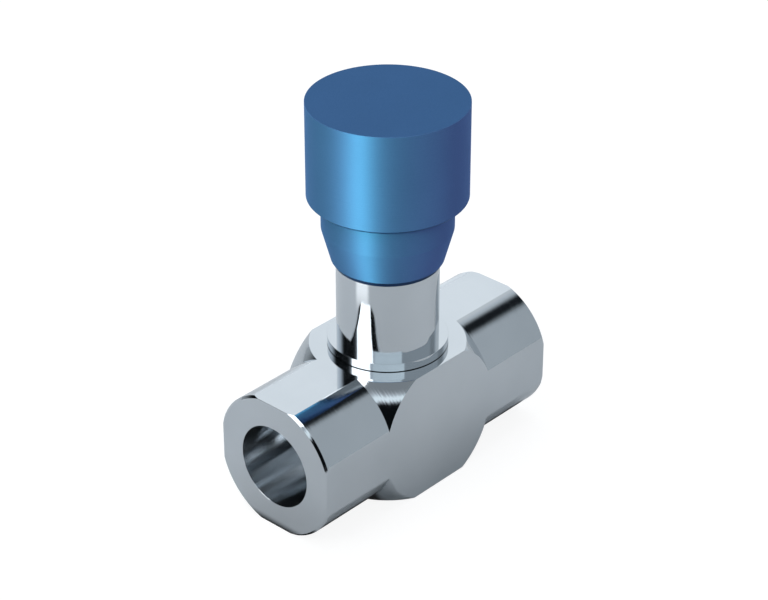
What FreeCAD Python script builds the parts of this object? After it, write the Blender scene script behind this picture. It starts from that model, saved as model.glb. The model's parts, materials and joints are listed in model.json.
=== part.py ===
import FreeCAD, Part
import math
import os

# Bi-directional needle valve with two in-line ports.
# Millimetres. The origin is the middle of the body's underside, the ports lie along X
# and the spindle stands along +Z. The valve is drawn closed, with the lock screw slack.
# Threads are plain cylinders near their pitch diameter.

# Body, turned and then left square where the bar's flats show
BAR = 30.0
BODY_LENGTH = 70.2
BALL_DIA = 45.2
END_DIA = 32.1
END_CHAMFER = 0.5

# Ports: G 1/2 threads at their minor diameter, and the oil's way to the seat
PORT_BORE = 18.631
PORT_DEPTH = 15.0
PASSAGE = 6.5
PASSAGE_LEDGE = 0.1
LOWER_CHAMBER = 9.0
DRILL_ANGLE = 118.0

# Seat insert with its seal
SEAT_DIA = 15.0
SEAT_HEIGHT = 3.5
SEAT_LEDGE = 0.6
ORIFICE = 6.0
SEAT_CONE_HEIGHT = 1.4
SEAT_HALF_ANGLE = 30.0
SEAT_GROOVE_DEPTH = 1.2
SEAT_O_RING = 1.35
SEAT_BACKUP = 0.8

# Bonnet: flange, sleeve, M20 spigot and flow cage
FLANGE_DIA = 26.0
FLANGE_THICK = 2.0
SLEEVE_DIA = 22.0
SPIGOT_DIA = 19.0
SPIGOT_RELIEF = 0.3
MOUTH_DEPTH = 1.9
MOUTH_DIA = 22.6
CHAMBER_DIA = 18.2
CAGE_DIA = 15.8
CAGE_BORE = 12.4
CAGE_HOLE = 5.5
CAGE_HOLES = 4
NEEDLE_BORE = 11.0
NUT_BORE = 9.41
NUT_LENGTH = 12.0
RELIEF_BORE = 12.0
WIPER_BORE = 16.0
SLOT_WIDTH = 4.0
SLOT_DEPTH = 2.0
SLEEVE_CHAMFER = 0.8

# Needle
TIP_DIA = 2.4
METERING_LENGTH = 5.6
METERING_TOP_DIA = 5.0
SHANK_DIA = 8.8
NEEDLE_GUIDE = 13.6
NEEDLE_CHAMFER = 0.4
GUIDE_RING = 2.0
GUIDE_RING_DEPTH = 0.8
GLAND_DEPTH = 1.45
GLAND_O_RING = 2.1
GLAND_BACKUP = 1.2
GROOVE_SPACING = 1.1

# Spindle, its drive and its travel
PITCH = 1.0
TURNS = 5.0
STOP_GAP = 0.3
SPINDLE_THREAD_DIA = 9.35
THREAD_SHORT_OF_NUT = 2.8
STEM_DIA = 8.0
STEM_CHAMFER = 0.5
NOSE_DIA = 7.3
NOSE_LENGTH = 3.3
BALL_BEARING_DIA = 4.0
BALL_SHOWN = 0.6
SNAP_WIRE = 0.9
SNAP_OPENING_ANGLE = 40.0

# Stem wiper and what holds it
WIPER_HEIGHT = 2.6
WIPER_LIP = 0.6
WASHER_THICK = 0.6
CIRCLIP_THICK = 1.0
CIRCLIP_BITE = 0.45
CIRCLIP_WIDTH = 1.3
CIRCLIP_OPENING_ANGLE = 30.0
CIRCLIP_EAR = 2.2
CIRCLIP_EAR_HOLE = 1.0

# Knob, set out from the valve's top downwards: head, neck and coned skirt over the sleeve
VALVE_HEIGHT = 86.95
HEAD_HEIGHT = 21.8
RIM_HEIGHT = 1.25
RIM_WIDTH = 0.8
SKIRT_END_DIA = 24.1
CONE_HEIGHT = 7.2
NECK_DIA = 28.0
NECK_HEIGHT = 7.0
KNOB_DIA = 34.0
KNOB_CHAMFER = 0.5
CROWN = 3.6
CEILING_GAP = 0.6
KNOB_O_RING = 1.7
KNOB_GROOVE_DEPTH = 1.3
KNOB_GROOVE_RISE = 6.6

# M4 grub screws: two hold the knob on the stem, one clamps the pad on the sleeve
GRUB_DIA = 3.5
GRUB_SOCKET = 2.0
GRUB_SOCKET_DEPTH = 1.5
GRUB_SOCKET_SIDES = 6
GRUB_CHAMFER = 0.4
SET_SCREW_SUNK = 0.98
HIDDEN_SIDE = 42.0
SET_SCREW_ANGLE = 45.0
LOCK_SCREW_SUNK = 0.38
LOCK_RISE = 3.25
LOCK_MARGIN = 2.2
LOCK_GAP = 0.4
LOCK_PAD_DIA = 3.2
LOCK_PAD_THICK = 1.2

# Clearances
RUNNING = 0.03
SKIRT_GAP = 0.1
THREAD_FIT = 0.02
FACE_GAP = 0.05
SEAT_GAP = 0.03

# Heights, worked out from the underside upwards
AXIS = BAR / 2
TRAVEL = PITCH * TURNS
LOWER_PASSAGE = AXIS - (PORT_BORE - PASSAGE) / 2 + PASSAGE_LEDGE
CHAMBER_FLOOR = LOWER_PASSAGE - PASSAGE / 2
SEAT_FLOOR = LOWER_PASSAGE + PASSAGE / 2 + SEAT_LEDGE
SEAT_TOP = SEAT_FLOOR + SEAT_HEIGHT
UPPER_PASSAGE = SEAT_TOP + PASSAGE / 2 + FACE_GAP
CAGE_TOP = UPPER_PASSAGE + PASSAGE / 2 + FACE_GAP
MOUTH_FLOOR = BAR - MOUTH_DEPTH
NEEDLE_TOP = CAGE_TOP + NEEDLE_CHAMFER + NEEDLE_GUIDE
STOP_SHOULDER = NEEDLE_TOP + TRAVEL + STOP_GAP
NUT_TOP = STOP_SHOULDER + NUT_LENGTH
SPINDLE_SHOULDER = NEEDLE_TOP + STOP_GAP
THREAD_TOP = NUT_TOP - THREAD_SHORT_OF_NUT
WIPER_SEAT = NUT_TOP + TRAVEL + STOP_GAP
WASHER_SEAT = WIPER_SEAT + WIPER_HEIGHT
CIRCLIP_SEAT = WASHER_SEAT + WASHER_THICK
FLANGE_TOP = BAR + FLANGE_THICK
HEAD_BOTTOM = VALVE_HEIGHT - HEAD_HEIGHT
NECK_BOTTOM = HEAD_BOTTOM - NECK_HEIGHT
CONE_BOTTOM = NECK_BOTTOM - CONE_HEIGHT
RIM = CONE_BOTTOM - RIM_HEIGHT
LOCK_HEIGHT = HEAD_BOTTOM + LOCK_RISE
SLEEVE_TOP = LOCK_HEIGHT + TRAVEL + LOCK_MARGIN
CEILING = SLEEVE_TOP + CEILING_GAP
STEM_TOP = VALVE_HEIGHT - CROWN
SET_SCREW_HEIGHT = (CEILING + STEM_TOP) / 2
SNAP_HEIGHT = NEEDLE_TOP - NOSE_LENGTH / 2 - STOP_GAP
NOSE_BOTTOM = SPINDLE_SHOULDER - NOSE_LENGTH
SOCKET_FLOOR = NOSE_BOTTOM - 2 * BALL_SHOWN
BALL_HEIGHT = SOCKET_FLOOR + BALL_SHOWN
GUIDE_RING_BOTTOM = CAGE_TOP + NEEDLE_CHAMFER + GROOVE_SPACING
GLAND_BOTTOM = GUIDE_RING_BOTTOM + GUIDE_RING + GROOVE_SPACING
GLAND_TOP = GLAND_BOTTOM + GLAND_O_RING + 2 * GLAND_BACKUP + 4 * FACE_GAP
SEAT_GROOVE_BOTTOM = SEAT_FLOOR + (SEAT_HEIGHT - SEAT_O_RING - SEAT_BACKUP) / 2 - FACE_GAP
SEAT_GROOVE_TOP = SEAT_GROOVE_BOTTOM + SEAT_O_RING + SEAT_BACKUP + 3 * FACE_GAP
KNOB_GROOVE_BOTTOM = RIM + KNOB_GROOVE_RISE

# Radii that follow from a mating piece
SKIRT_BORE_R = SLEEVE_DIA / 2 + SKIRT_GAP
STEM_BORE_R = STEM_DIA / 2 + RUNNING
NEEDLE_R = NEEDLE_BORE / 2 - RUNNING
GRUB_HOLE_R = GRUB_DIA / 2 + RUNNING

ORIGIN = FreeCAD.Vector(0, 0, 0)
UP = FreeCAD.Vector(0, 0, 1)


def turned(profile):
    """Solid of revolution about the spindle's axis from (radius, height) corners."""
    corners = [FreeCAD.Vector(radius, 0, height) for radius, height in profile]
    outline = Part.makePolygon(corners + corners[:1])
    return Part.Face(outline).revolve(ORIGIN, UP, 360)


def ring(inner, outer, low, high):
    """Plain ring of rectangular section about the spindle's axis."""
    return turned([(inner, low), (outer, low), (outer, high), (inner, high)])


def disc(radius, low, high):
    """Upright cylinder on the spindle's axis."""
    return Part.makeCylinder(radius, high - low, FreeCAD.Vector(0, 0, low))


def o_ring(inner, outer, low, high):
    """Squeezed rubber ring: flat where it seals, round at its corners."""
    seal = ring(inner, outer, low, high)
    corner = 0.4 * min(outer - inner, high - low)
    return seal.makeFillet(corner, seal.Edges)


def split_ring(section, opening):
    """Ring with a gap, from the face of its section in the XZ plane."""
    start = section.rotated(ORIGIN, UP, HIDDEN_SIDE + opening / 2)
    return start.revolve(ORIGIN, UP, 360 - opening)


def outward(angle):
    """Level direction at an angle from +X."""
    return FreeCAD.Vector(math.cos(math.radians(angle)), math.sin(math.radians(angle)), 0)


def radial_drill(radius, reach, angle, height):
    """Drill from the spindle's axis outwards."""
    return Part.makeCylinder(radius, reach, FreeCAD.Vector(0, 0, height), outward(angle))


def radially(shape, angle, distance, height):
    """Lay an upright shape down so that its top points away from the spindle."""
    place = outward(angle) * distance + FreeCAD.Vector(0, 0, height)
    laid = shape.copy()
    laid.Placement = FreeCAD.Placement(place, FreeCAD.Rotation(UP, outward(angle)))
    return laid


def port_drilling(side):
    """Flat-bottomed port bore, entering from one end of the body."""
    mouth = FreeCAD.Vector(side * BODY_LENGTH / 2, 0, AXIS)
    return Part.makeCylinder(PORT_BORE / 2, PORT_DEPTH, mouth, FreeCAD.Vector(-side, 0, 0))


def level_passage(side, height):
    """Level drilling that ends on the spindle's axis."""
    reach = BODY_LENGTH / 2 - PORT_DEPTH
    start = FreeCAD.Vector(side * reach, 0, height)
    return Part.makeCylinder(PASSAGE / 2, reach, start, FreeCAD.Vector(-side, 0, 0))


def turned_outline():
    """Outside of the body as it leaves the lathe: two ends and a ball."""
    half = BODY_LENGTH / 2
    end = END_DIA / 2
    shoulder = math.sqrt((BALL_DIA / 2) ** 2 - end ** 2)

    def at(x, radius):
        return FreeCAD.Vector(x, 0, AXIS + radius)

    left = Part.makePolygon([at(-shoulder, end), at(-half + END_CHAMFER, end),
                             at(-half, end - END_CHAMFER), at(-half, 0),
                             at(half, 0), at(half, end - END_CHAMFER),
                             at(half - END_CHAMFER, end), at(shoulder, end)])
    ball = Part.Arc(at(shoulder, end), at(0, BALL_DIA / 2), at(-shoulder, end)).toShape()
    face = Part.Face(Part.Wire(left.Edges + [ball]))
    return face.revolve(FreeCAD.Vector(0, 0, AXIS), FreeCAD.Vector(1, 0, 0), 360)


def bonnet_cavity():
    """Stepped hole for the seat, the flow cage, the spigot and its seal."""
    point = LOWER_CHAMBER / 2 / math.tan(math.radians(DRILL_ANGLE / 2))
    spigot = SPIGOT_DIA / 2 + THREAD_FIT
    return turned([
        (0, CHAMBER_FLOOR - point), (LOWER_CHAMBER / 2, CHAMBER_FLOOR),
        (LOWER_CHAMBER / 2, SEAT_FLOOR), (SEAT_DIA / 2, SEAT_FLOOR),
        (SEAT_DIA / 2, SEAT_TOP), (CHAMBER_DIA / 2, SEAT_TOP),
        (CHAMBER_DIA / 2, CAGE_TOP), (spigot, CAGE_TOP),
        (spigot, MOUTH_FLOOR), (MOUTH_DIA / 2, MOUTH_FLOOR),
        (MOUTH_DIA / 2, BAR), (0, BAR)])


def valve_body():
    bar = Part.makeBox(BODY_LENGTH, BAR, BAR, FreeCAD.Vector(-BODY_LENGTH / 2, -BAR / 2, 0))
    body = bar.common(turned_outline())
    drillings = [port_drilling(-1), port_drilling(1), bonnet_cavity(),
                 level_passage(-1, LOWER_PASSAGE), level_passage(1, UPPER_PASSAGE)]
    for drilling in drillings:
        body = body.cut(drilling)
    return body


def seat_insert():
    outer = SEAT_DIA / 2 - THREAD_FIT
    orifice = ORIFICE / 2
    mouth = orifice + SEAT_CONE_HEIGHT * math.tan(math.radians(SEAT_HALF_ANGLE))
    groove = SEAT_DIA / 2 - SEAT_GROOVE_DEPTH
    return turned([
        (orifice, SEAT_FLOOR), (outer, SEAT_FLOOR),
        (outer, SEAT_GROOVE_BOTTOM), (groove, SEAT_GROOVE_BOTTOM),
        (groove, SEAT_GROOVE_TOP), (outer, SEAT_GROOVE_TOP),
        (outer, SEAT_TOP), (mouth, SEAT_TOP), (orifice, SEAT_TOP - SEAT_CONE_HEIGHT)])


def seat_o_ring():
    low = SEAT_GROOVE_BOTTOM + FACE_GAP
    inner = SEAT_DIA / 2 - SEAT_GROOVE_DEPTH + THREAD_FIT
    return o_ring(inner, SEAT_DIA / 2 - THREAD_FIT, low, low + SEAT_O_RING)


def seat_backup_ring():
    low = SEAT_GROOVE_BOTTOM + 2 * FACE_GAP + SEAT_O_RING
    inner = SEAT_DIA / 2 - SEAT_GROOVE_DEPTH + THREAD_FIT
    return ring(inner, SEAT_DIA / 2 - THREAD_FIT, low, low + SEAT_BACKUP)


def bonnet():
    sleeve = SLEEVE_DIA / 2
    spigot = SPIGOT_DIA / 2
    wiper = WIPER_BORE / 2
    clip = wiper + CIRCLIP_BITE + FACE_GAP
    clip_top = CIRCLIP_SEAT + CIRCLIP_THICK + FACE_GAP
    shape = turned([
        (CAGE_BORE / 2, SEAT_TOP), (CAGE_DIA / 2, SEAT_TOP), (CAGE_DIA / 2, CAGE_TOP),
        (spigot, CAGE_TOP), (spigot, MOUTH_FLOOR),
        (spigot - SPIGOT_RELIEF, MOUTH_FLOOR), (spigot - SPIGOT_RELIEF, BAR),
        (FLANGE_DIA / 2, BAR), (FLANGE_DIA / 2, FLANGE_TOP), (sleeve, FLANGE_TOP),
        (sleeve, SLEEVE_TOP - SLEEVE_CHAMFER), (sleeve - SLEEVE_CHAMFER, SLEEVE_TOP),
        (wiper, SLEEVE_TOP), (wiper, clip_top), (clip, clip_top),
        (clip, CIRCLIP_SEAT), (wiper, CIRCLIP_SEAT), (wiper, WIPER_SEAT),
        (RELIEF_BORE / 2, WIPER_SEAT), (RELIEF_BORE / 2, NUT_TOP),
        (NUT_BORE / 2, NUT_TOP), (NUT_BORE / 2, STOP_SHOULDER),
        (NEEDLE_BORE / 2, STOP_SHOULDER), (NEEDLE_BORE / 2, CAGE_TOP),
        (CAGE_BORE / 2, CAGE_TOP)])
    for turn in range(CAGE_HOLES):
        angle = 360 * turn / CAGE_HOLES
        shape = shape.cut(radial_drill(CAGE_HOLE / 2, CAGE_DIA, angle, UPPER_PASSAGE))
    corner = FreeCAD.Vector(-SLEEVE_DIA, -SLOT_WIDTH / 2, SLEEVE_TOP - SLOT_DEPTH)
    return shape.cut(Part.makeBox(2 * SLEEVE_DIA, SLOT_WIDTH, 2 * SLOT_DEPTH, corner))


def bonnet_o_ring():
    inner = SPIGOT_DIA / 2 - SPIGOT_RELIEF + THREAD_FIT
    outer = MOUTH_DIA / 2 - THREAD_FIT
    return o_ring(inner, outer, MOUTH_FLOOR + FACE_GAP, BAR - FACE_GAP)


def stem_wiper():
    """Wiper with a lip that thins towards the stem."""
    stem = STEM_DIA / 2 + RUNNING
    outer = WIPER_BORE / 2 - THREAD_FIT
    middle = (stem + outer) / 2
    return turned([
        (stem, WASHER_SEAT - WIPER_LIP - FACE_GAP), (middle, WIPER_SEAT + WIPER_LIP),
        (middle, WIPER_SEAT), (outer, WIPER_SEAT), (outer, WASHER_SEAT - FACE_GAP),
        (stem, WASHER_SEAT - FACE_GAP)])


def wiper_washer():
    outer = WIPER_BORE / 2 - THREAD_FIT
    return ring(STEM_DIA / 2 + WIPER_LIP, outer, WASHER_SEAT, CIRCLIP_SEAT - FACE_GAP)


def wiper_circlip():
    """Internal circlip with two eared ends for the pliers."""
    outer = WIPER_BORE / 2 + CIRCLIP_BITE
    inner = outer - CIRCLIP_WIDTH
    low = CIRCLIP_SEAT
    section = Part.Face(Part.makePolygon([
        FreeCAD.Vector(inner, 0, low), FreeCAD.Vector(outer, 0, low),
        FreeCAD.Vector(outer, 0, low + CIRCLIP_THICK),
        FreeCAD.Vector(inner, 0, low + CIRCLIP_THICK), FreeCAD.Vector(inner, 0, low)]))
    clip = split_ring(section, CIRCLIP_OPENING_ANGLE)
    reach = inner - CIRCLIP_EAR / 4
    for side in (-1, 1):
        centre = outward(HIDDEN_SIDE + side * CIRCLIP_OPENING_ANGLE * 0.65) * reach
        centre = centre + FreeCAD.Vector(0, 0, low)
        clip = clip.fuse(Part.makeCylinder(CIRCLIP_EAR / 2, CIRCLIP_THICK, centre))
        clip = clip.cut(Part.makeCylinder(CIRCLIP_EAR_HOLE / 2, CIRCLIP_THICK, centre))
    return clip.removeSplitter()


def needle():
    slope = math.tan(math.radians(SEAT_HALF_ANGLE))
    inset = SEAT_GAP / math.cos(math.radians(SEAT_HALF_ANGLE))
    edge = SEAT_TOP - SEAT_CONE_HEIGHT

    def cone_height(radius):
        return edge + (radius + inset - ORIFICE / 2) / slope

    metering_top = cone_height(METERING_TOP_DIA / 2)
    guide = CAGE_TOP + NEEDLE_CHAMFER
    ring_floor = NEEDLE_R - GUIDE_RING_DEPTH
    gland = NEEDLE_BORE / 2 - GLAND_DEPTH
    shape = turned([
        (0, metering_top - METERING_LENGTH), (TIP_DIA / 2, metering_top - METERING_LENGTH),
        (METERING_TOP_DIA / 2, metering_top), (SHANK_DIA / 2, cone_height(SHANK_DIA / 2)),
        (SHANK_DIA / 2, CAGE_TOP), (NEEDLE_R - NEEDLE_CHAMFER, CAGE_TOP), (NEEDLE_R, guide),
        (NEEDLE_R, GUIDE_RING_BOTTOM), (ring_floor, GUIDE_RING_BOTTOM),
        (ring_floor, GUIDE_RING_BOTTOM + GUIDE_RING), (NEEDLE_R, GUIDE_RING_BOTTOM + GUIDE_RING),
        (NEEDLE_R, GLAND_BOTTOM), (gland, GLAND_BOTTOM), (gland, GLAND_TOP),
        (NEEDLE_R, GLAND_TOP), (NEEDLE_R, NEEDLE_TOP - NEEDLE_CHAMFER),
        (NEEDLE_R - NEEDLE_CHAMFER, NEEDLE_TOP), (0, NEEDLE_TOP)])
    socket = disc(NOSE_DIA / 2 + FACE_GAP, SOCKET_FLOOR, NEEDLE_TOP)
    groove = disc(NOSE_DIA / 2 + SNAP_WIRE / 2 + FACE_GAP,
                  SNAP_HEIGHT - SNAP_WIRE / 2 - FACE_GAP, SNAP_HEIGHT + SNAP_WIRE / 2 + FACE_GAP)
    cup = Part.makeSphere(BALL_BEARING_DIA / 2 + RUNNING, FreeCAD.Vector(0, 0, BALL_HEIGHT))
    return shape.cut(socket).cut(groove).cut(cup)


def needle_guide_ring():
    inner = NEEDLE_R - GUIDE_RING_DEPTH + THREAD_FIT
    low = GUIDE_RING_BOTTOM + FACE_GAP
    return ring(inner, NEEDLE_R, low, GUIDE_RING_BOTTOM + GUIDE_RING - FACE_GAP)


def gland_radii():
    """Inner and outer radius of what lies in the needle's gland."""
    return NEEDLE_BORE / 2 - GLAND_DEPTH + THREAD_FIT, NEEDLE_R


def needle_lower_backup_ring():
    inner, outer = gland_radii()
    low = GLAND_BOTTOM + FACE_GAP
    return ring(inner, outer, low, low + GLAND_BACKUP)


def needle_o_ring():
    inner, outer = gland_radii()
    low = GLAND_BOTTOM + 2 * FACE_GAP + GLAND_BACKUP
    return o_ring(inner, outer, low, low + GLAND_O_RING)


def needle_upper_backup_ring():
    inner, outer = gland_radii()
    low = GLAND_BOTTOM + 3 * FACE_GAP + GLAND_BACKUP + GLAND_O_RING
    return ring(inner, outer, low, low + GLAND_BACKUP)


def thrust_ball():
    return Part.makeSphere(BALL_BEARING_DIA / 2, FreeCAD.Vector(0, 0, BALL_HEIGHT))


def coupling_snap_ring():
    """Round wire ring, half in the needle's socket and half in the spindle's nose."""
    centre = FreeCAD.Vector(NOSE_DIA / 2, 0, SNAP_HEIGHT)
    wire = Part.Circle(centre, FreeCAD.Vector(0, 1, 0), SNAP_WIRE / 2).toShape()
    return split_ring(Part.Face(Part.Wire(wire)), SNAP_OPENING_ANGLE)


def spindle():
    nose = NOSE_DIA / 2
    thread = SPINDLE_THREAD_DIA / 2
    stem = STEM_DIA / 2
    groove = nose - SNAP_WIRE / 2 - FACE_GAP
    groove_low = SNAP_HEIGHT - SNAP_WIRE / 2 - FACE_GAP
    groove_high = SNAP_HEIGHT + SNAP_WIRE / 2 + FACE_GAP
    shape = turned([
        (0, NOSE_BOTTOM), (nose, NOSE_BOTTOM), (nose, groove_low), (groove, groove_low),
        (groove, groove_high), (nose, groove_high), (nose, SPINDLE_SHOULDER),
        (thread - STEM_CHAMFER, SPINDLE_SHOULDER), (thread, SPINDLE_SHOULDER + STEM_CHAMFER),
        (thread, THREAD_TOP - STEM_CHAMFER), (thread - STEM_CHAMFER, THREAD_TOP),
        (stem, THREAD_TOP), (stem, STEM_TOP - STEM_CHAMFER),
        (stem - STEM_CHAMFER, STEM_TOP), (0, STEM_TOP)])
    cup = Part.makeSphere(BALL_BEARING_DIA / 2 + RUNNING, FreeCAD.Vector(0, 0, BALL_HEIGHT))
    return shape.cut(cup)


def knob():
    head = KNOB_DIA / 2
    neck = NECK_DIA / 2
    bore = SKIRT_BORE_R
    groove = bore + KNOB_GROOVE_DEPTH
    groove_top = KNOB_GROOVE_BOTTOM + KNOB_O_RING + 2 * FACE_GAP
    shape = turned([
        (bore, RIM), (SKIRT_END_DIA / 2 - RIM_WIDTH, RIM), (SKIRT_END_DIA / 2, CONE_BOTTOM),
        (neck, NECK_BOTTOM), (neck, HEAD_BOTTOM), (head - KNOB_CHAMFER, HEAD_BOTTOM),
        (head, HEAD_BOTTOM + KNOB_CHAMFER), (head, VALVE_HEIGHT), (0, VALVE_HEIGHT),
        (0, STEM_TOP + FACE_GAP), (STEM_BORE_R, STEM_TOP + FACE_GAP),
        (STEM_BORE_R, CEILING), (bore, CEILING), (bore, groove_top), (groove, groove_top),
        (groove, KNOB_GROOVE_BOTTOM), (bore, KNOB_GROOVE_BOTTOM)])
    for side in (-1, 1):
        angle = HIDDEN_SIDE + side * SET_SCREW_ANGLE
        shape = shape.cut(radial_drill(GRUB_HOLE_R, KNOB_DIA, angle, SET_SCREW_HEIGHT))
    return shape.cut(radial_drill(GRUB_HOLE_R, KNOB_DIA, HIDDEN_SIDE, LOCK_HEIGHT))


def knob_o_ring():
    """Dust seal that also gives the knob its even drag on the sleeve."""
    low = KNOB_GROOVE_BOTTOM + FACE_GAP
    outer = SKIRT_BORE_R + KNOB_GROOVE_DEPTH - THREAD_FIT
    return o_ring(SLEEVE_DIA / 2 + RUNNING, outer, low, low + KNOB_O_RING)


def grub_screw(length):
    """Upright grub screw: point at height 0, hexagon socket at the top."""
    radius = GRUB_DIA / 2
    blank = turned([
        (0, 0), (radius - GRUB_CHAMFER, 0), (radius, GRUB_CHAMFER),
        (radius, length - GRUB_CHAMFER), (radius - GRUB_CHAMFER, length), (0, length)])
    corner = GRUB_SOCKET / 2 / math.cos(math.pi / GRUB_SOCKET_SIDES)
    step = 360 / GRUB_SOCKET_SIDES
    floor = length - GRUB_SOCKET_DEPTH
    points = [outward(step * side) * corner + FreeCAD.Vector(0, 0, floor)
              for side in range(GRUB_SOCKET_SIDES + 1)]
    socket = Part.Face(Part.makePolygon(points)).extrude(UP * 2 * GRUB_SOCKET_DEPTH)
    return blank.cut(socket)


def knob_set_screws():
    """Two grub screws with their points on the stem."""
    point = STEM_DIA / 2 + THREAD_FIT
    screw = grub_screw(KNOB_DIA / 2 - SET_SCREW_SUNK - point)
    return Part.makeCompound([
        radially(screw, HIDDEN_SIDE + side * SET_SCREW_ANGLE, point, SET_SCREW_HEIGHT)
        for side in (-1, 1)])


def lock_pad():
    """Soft pad between the lock screw and the sleeve, drawn slack."""
    pad = disc(LOCK_PAD_DIA / 2, 0, LOCK_PAD_THICK)
    return radially(pad, HIDDEN_SIDE, SLEEVE_DIA / 2 + LOCK_GAP, LOCK_HEIGHT)


def lock_screw():
    point = SLEEVE_DIA / 2 + LOCK_GAP + LOCK_PAD_THICK + THREAD_FIT
    screw = grub_screw(KNOB_DIA / 2 - LOCK_SCREW_SUNK - point)
    return radially(screw, HIDDEN_SIDE, point, LOCK_HEIGHT)


PIECES = [
    valve_body, seat_insert, seat_o_ring, seat_backup_ring,
    bonnet, bonnet_o_ring, stem_wiper, wiper_washer, wiper_circlip,
    needle, needle_guide_ring, needle_lower_backup_ring, needle_o_ring,
    needle_upper_backup_ring, thrust_ball, coupling_snap_ring,
    spindle, knob, knob_o_ring, knob_set_screws, lock_pad, lock_screw,
]

os.makedirs("parts", exist_ok=True)
for piece in PIECES:
    shape = piece()
    shape.exportStep("parts/" + piece.__name__ + ".step")
    print(piece.__name__, shape.isValid(), len(shape.Solids), round(shape.Volume, 2))
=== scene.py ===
import json
import math

import bmesh
import bpy
from bpy.props import FloatProperty, FloatVectorProperty, PointerProperty
from mathutils import Matrix, Vector


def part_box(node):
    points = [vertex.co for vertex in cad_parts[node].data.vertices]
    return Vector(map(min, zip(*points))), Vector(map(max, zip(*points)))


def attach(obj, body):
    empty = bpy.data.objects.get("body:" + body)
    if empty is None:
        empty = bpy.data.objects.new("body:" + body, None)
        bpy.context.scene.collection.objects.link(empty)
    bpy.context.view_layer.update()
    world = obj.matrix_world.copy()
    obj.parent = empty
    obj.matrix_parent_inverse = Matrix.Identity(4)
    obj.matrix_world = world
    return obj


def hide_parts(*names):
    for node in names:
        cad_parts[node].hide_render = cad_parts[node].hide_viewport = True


bl_info = {
    "name": "Needle Valve",
    "version": (1, 0, 0),
    "blender": (4, 5, 0),
    "location": "View3D > Sidebar > Needle Valve",
    "description": "Builds an in-line needle valve with a blue knob, its finishes and a studio",
    "category": "Object",
}

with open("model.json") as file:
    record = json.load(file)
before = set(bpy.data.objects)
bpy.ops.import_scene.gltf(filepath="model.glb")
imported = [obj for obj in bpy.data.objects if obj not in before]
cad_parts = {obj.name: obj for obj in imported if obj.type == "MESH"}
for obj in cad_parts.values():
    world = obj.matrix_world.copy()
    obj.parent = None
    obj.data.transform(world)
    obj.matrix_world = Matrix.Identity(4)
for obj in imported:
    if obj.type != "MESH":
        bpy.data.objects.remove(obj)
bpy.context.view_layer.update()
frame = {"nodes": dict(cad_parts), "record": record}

MM = 0.001
ALONG = Vector((1, 0, 0))
ACROSS = Vector((0, 1, 0))
UP = Vector((0, 0, 1))
FULL_TURN = 2 * math.pi
SHARP_ANGLE = math.radians(8)

# Distances in metres below which corners are merged, slivers dissolved and places count as one
MERGE_DISTANCE = 1e-7
SLIVER = 0.001 * MM
TOUCHING = 1e-5

# How squarely a face looks along an axis before it counts as flat across it
FACING = 0.99

# Facets round each turned shape
BODY_FACETS = 288
BALL_ARC_FACETS = 40
CAVITY_FACETS = 128
SLEEVE_FACETS = 224
KNOB_FACETS = 224
HOLE_FACETS = 64
SCREW_FACETS = 72

# Inside of the body: seat insert, cage and thread
SEAT_CHAMBER_RADIUS = 4.5 * MM
SEAT_POCKET_RADIUS = 7.5 * MM
SEAT_LEDGE = 0.6 * MM
SEAT_HEIGHT = 3.5 * MM
DRILL_HALF_ANGLE = math.radians(59)
CAGE_RISE = 0.05 * MM
THREAD_FIT = 0.02 * MM

# Bonnet: lengths of its bores from the cage's top upwards, and its small steps
NEEDLE_BORE_LENGTH = 19.3 * MM
NUT_LENGTH = 12.0 * MM
RELIEF_LENGTH = 5.3 * MM
WIPER_LENGTH = 3.2 * MM
CLIP_GROOVE_HEIGHT = 1.05 * MM
CLIP_GROOVE_DEPTH = 0.5 * MM
SPIGOT_RELIEF = 0.3 * MM
SEAM_DEPTH = 0.5 * MM
SEAM_HEIGHT = 0.17 * MM
SLEEVE_CHAMFER = 0.8 * MM
FLANGE_EDGE_BREAK = 0.03 * MM

# Knob: lengths and gaps of its parts, and its edges
CONE_HEIGHT = 7.2 * MM
NECK_HEIGHT = 7.0 * MM
SKIRT_GAP = 0.1 * MM
SEAL_GROOVE_RISE = 6.6 * MM
SEAL_GROOVE_HEIGHT = 1.8 * MM
SEAL_GROOVE_DEPTH = 1.3 * MM
STEM_HOLE_RADIUS = 4.03 * MM
NECK_ROUND = 0.25 * MM
KNOB_EDGE_ROUND = 0.08 * MM
RIM_MARGIN = 0.2 * MM

# Heights inside the knob, above the valve's underside
SKIRT_CEILING = 76.2 * MM
STEM_HOLE_TOP = 83.4 * MM
LOCK_SCREW_HEIGHT = 68.4 * MM
SET_SCREW_HEIGHT = 79.775 * MM

# Grub screws: where each one's point stands from the spindle's axis, how deep each is sunk, chamfers
LOCK_SCREW_POINT = 12.62 * MM
SET_SCREW_POINT = 4.02 * MM
LOCK_SCREW_SUNK = 0.38 * MM
SET_SCREW_SUNK = 0.98 * MM
SCREW_HOLE_START = 2 * MM
SCREW_POINT_CHAMFER = 0.4 * MM
SCREW_TAIL_CHAMFER = 0.3 * MM


def length_property(name, description, millimetres):
    """Size in metres that the sidebar shows as a length."""
    return FloatProperty(name=name, description=description, default=millimetres * MM,
                         min=0.0, precision=5, subtype="DISTANCE", unit="LENGTH")


def angle_property(name, description, degrees):
    return FloatProperty(name=name, description=description, default=math.radians(degrees),
                         subtype="ANGLE", unit="ROTATION")


def colour_property(name, description, colour):
    return FloatVectorProperty(name=name, description=description, default=colour,
                               size=3, min=0.0, max=1.0, subtype="COLOR")


def share_property(name, description, value):
    return FloatProperty(name=name, description=description, default=value, min=0.0, max=1.0)


def power_property(name, description, watts):
    return FloatProperty(name=name, description=description, default=watts, min=0.0)


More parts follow.
